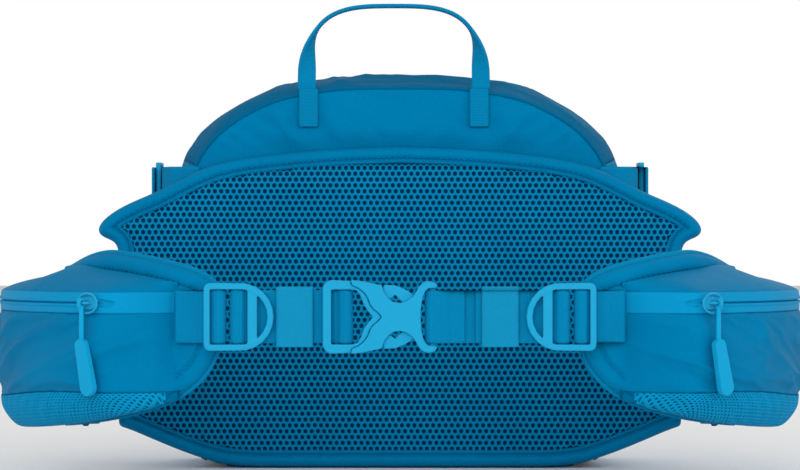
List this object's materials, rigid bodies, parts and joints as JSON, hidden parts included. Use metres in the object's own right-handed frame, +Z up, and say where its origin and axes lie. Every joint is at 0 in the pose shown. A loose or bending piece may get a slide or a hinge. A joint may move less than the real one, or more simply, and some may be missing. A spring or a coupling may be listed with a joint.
{
  "type": "waist pack",
  "caption": "Padded lumbar waist pack with curved hip wings, zipped wing pockets, a panel-loading bag, haul handle and a webbing belt with side-release buckle.",
  "frame": {"origin": "centre of the overall box, at the height of the bag's flat base", "axes": "+Z up, -Y towards the buckle and the wearer's front, +Y towards the bag, +X to the right as seen from the buckle side"},
  "size_m": [0.4034, 0.2722, 0.2429],
  "materials": {
    "pack_cloth": "matte",
    "dark_cloth": "matte",
    "spacer_mesh": "matte",
    "stretch_mesh": "matte",
    "binding": "matte",
    "webbing": "matte",
    "elastic": "matte",
    "zip_tape": "matte",
    "pull_cord": "matte",
    "moulded_plastic": "satin",
    "foam": "matte",
    "frame_sheet": "matte"
  },
  "bodies": {
    "pack": {"panel_foam": "foam", "panel_mesh": "spacer_mesh", "panel_border": "binding", "frame_sheet": "frame_sheet", "bag_back": "pack_cloth", "bag_top": "dark_cloth", "bag_side_left": "pack_cloth", "bag_side_right": "pack_cloth", "bag_bottom": "dark_cloth", "bag_front": "pack_cloth", "main_zip_tape": "zip_tape", "side_anchor_left": "webbing", "side_anchor_right": "webbing", "side_strap_left": "webbing", "side_strap_right": "webbing", "side_lock_left": "moulded_plastic", "side_lock_right": "moulded_plastic", "handle_tab_left": "webbing", "handle_tab_right": "webbing"},
    "handle": {"haul_handle": "webbing"},
    "flap": {"main_flap": "pack_cloth", "flap_zip_tape": "zip_tape", "front_pocket": "dark_cloth", "front_pocket_face": "pack_cloth", "front_zip_tape": "zip_tape"},
    "main_slider_left": {"main_slider_left": "moulded_plastic"},
    "main_slider_right": {"main_slider_right": "moulded_plastic"},
    "main_pull_left": {"main_pull_left": "pull_cord"},
    "main_pull_right": {"main_pull_right": "pull_cord"},
    "front_slider": {"front_slider": "moulded_plastic"},
    "front_pull": {"front_pull": "pull_cord"},
    "wing_left": {"wing_left": "pack_cloth", "wing_binding_left": "binding", "pocket_top_left": "dark_cloth", "pocket_zip_left": "zip_tape", "pocket_face_left": "pack_cloth", "pocket_mesh_left": "stretch_mesh", "wing_anchor_left": "webbing"},
    "slider_left": {"wing_slider_left": "moulded_plastic"},
    "pull_left": {"wing_pull_left": "pull_cord"},
    "keeper_left": {"keeper_left": "elastic"},
    "wing_right": {"wing_right": "pack_cloth", "wing_binding_right": "binding", "pocket_top_right": "dark_cloth", "pocket_zip_right": "zip_tape", "pocket_face_right": "pack_cloth", "pocket_mesh_right": "stretch_mesh", "wing_anchor_right": "webbing"},
    "slider_right": {"wing_slider_right": "moulded_plastic"},
    "pull_right": {"wing_pull_right": "pull_cord"},
    "keeper_right": {"keeper_right": "elastic"},
    "strap_left": {"ladder_lock_left": "moulded_plastic", "belt_webbing_left": "webbing", "buckle_male": "moulded_plastic"},
    "strap_right": {"ladder_lock_right": "moulded_plastic", "belt_webbing_right": "webbing", "buckle_female": "moulded_plastic"},
    "prong_upper": {"prong_upper": "moulded_plastic"},
    "prong_lower": {"prong_lower": "moulded_plastic"}
  },
  "joints": [
    {"name": "left_wing_open", "type": "hinge", "parent": "pack", "child": "wing_left", "pos_m": [-0.15444, 0.02874, 0.07], "axis": [0, 0, -1], "range_deg": [0, 45], "deforming": ["prong_upper", "prong_lower"]},
    {"name": "right_wing_open", "type": "hinge", "parent": "pack", "child": "wing_right", "pos_m": [0.15444, 0.02874, 0.07], "axis": [0, 0, 1], "range_deg": [0, 45]},
    {"name": "left_strap_turn", "type": "hinge", "parent": "wing_left", "child": "strap_left", "pos_m": [-0.0855, -0.1281, 0.083], "axis": [0, 0, 1], "range_deg": [0, 45]},
    {"name": "right_strap_turn", "type": "hinge", "parent": "wing_right", "child": "strap_right", "pos_m": [0.0855, -0.1281, 0.083], "axis": [0, 0, -1], "range_deg": [0, 45]},
    {"name": "upper_prong_squeeze", "type": "hinge", "parent": "strap_left", "child": "prong_upper", "pos_m": [-0.0141, -0.1281, 0.0912], "axis": [0, 1, 0], "range_deg": [0, 9], "stiffness_Nm_per_rad": 0.3},
    {"name": "lower_prong_squeeze", "type": "hinge", "parent": "strap_left", "child": "prong_lower", "pos_m": [-0.0141, -0.1281, 0.0748], "axis": [0, -1, 0], "range_deg": [0, 9], "stiffness_Nm_per_rad": 0.3},
    {"name": "left_keeper_slide", "type": "slide", "parent": "strap_left", "child": "keeper_left", "axis": [1, 0, 0], "range_m": [0, 0.004]},
    {"name": "right_keeper_slide", "type": "slide", "parent": "strap_right", "child": "keeper_right", "axis": [-1, 0, 0], "range_m": [0, 0.01]},
    {"name": "left_pocket_zip", "type": "hinge", "parent": "wing_left", "child": "slider_left", "pos_m": [-0.07, -0.021, 0.0895], "axis": [0, 0, -1], "range_deg": [0, 58]},
    {"name": "right_pocket_zip", "type": "hinge", "parent": "wing_right", "child": "slider_right", "pos_m": [0.07, -0.021, 0.0895], "axis": [0, 0, 1], "range_deg": [0, 58]},
    {"name": "left_pocket_pull", "type": "hinge", "parent": "slider_left", "child": "pull_left", "pos_m": [-0.15002, -0.13047, 0.0894], "axis": [-0.8073, 0.5901, 0], "range_deg": [0, 100]},
    {"name": "right_pocket_pull", "type": "hinge", "parent": "slider_right", "child": "pull_right", "pos_m": [0.15002, -0.13047, 0.0894], "axis": [-0.8073, -0.5901, 0], "range_deg": [0, 100]},
    {"name": "main_flap_open", "type": "hinge", "parent": "pack", "child": "flap", "pos_m": [0, 0.1088, 0.04], "axis": [-1, 0, 0], "range_deg": [0, 50]},
    {"name": "main_zip_left", "type": "hinge", "parent": "flap", "child": "main_slider_left", "pos_m": [0, 0.1082, 0.09], "axis": [0, -1, 0], "range_deg": [0, 80]},
    {"name": "main_pull_left_swing", "type": "hinge", "parent": "main_slider_left", "child": "main_pull_left", "pos_m": [-0.0112, 0.1142, 0.18121], "axis": [0.9925, 0, 0.1219], "range_deg": [0, 100]},
    {"name": "main_zip_right", "type": "hinge", "parent": "flap", "child": "main_slider_right", "pos_m": [0, 0.1082, 0.09], "axis": [0, 1, 0], "range_deg": [0, 80]},
    {"name": "main_pull_right_swing", "type": "hinge", "parent": "main_slider_right", "child": "main_pull_right", "pos_m": [0.0112, 0.1142, 0.18121], "axis": [0.9925, 0, -0.1219], "range_deg": [0, 100]},
    {"name": "front_zip", "type": "slide", "parent": "flap", "child": "front_slider", "axis": [1, 0, 0], "range_m": [0, 0.085]},
    {"name": "front_pull_swing", "type": "hinge", "parent": "front_slider", "child": "front_pull", "pos_m": [-0.043, 0.1328, 0.1099], "axis": [1, 0, 0], "range_deg": [0, 100]},
    {"name": "handle_fold", "type": "hinge", "parent": "pack", "child": "handle", "pos_m": [-0.00325, 0.0394, 0.2], "axis": [1, 0, 0], "range_deg": [-35, 80]}
  ],
  "couplings": [
    {"joint": "right_wing_open", "follows": "left_wing_open", "ratio": 1},
    {"joint": "left_strap_turn", "follows": "left_wing_open", "ratio": 1},
    {"joint": "right_strap_turn", "follows": "left_wing_open", "ratio": 1},
    {"joint": "lower_prong_squeeze", "follows": "upper_prong_squeeze", "ratio": 1}
  ]
}
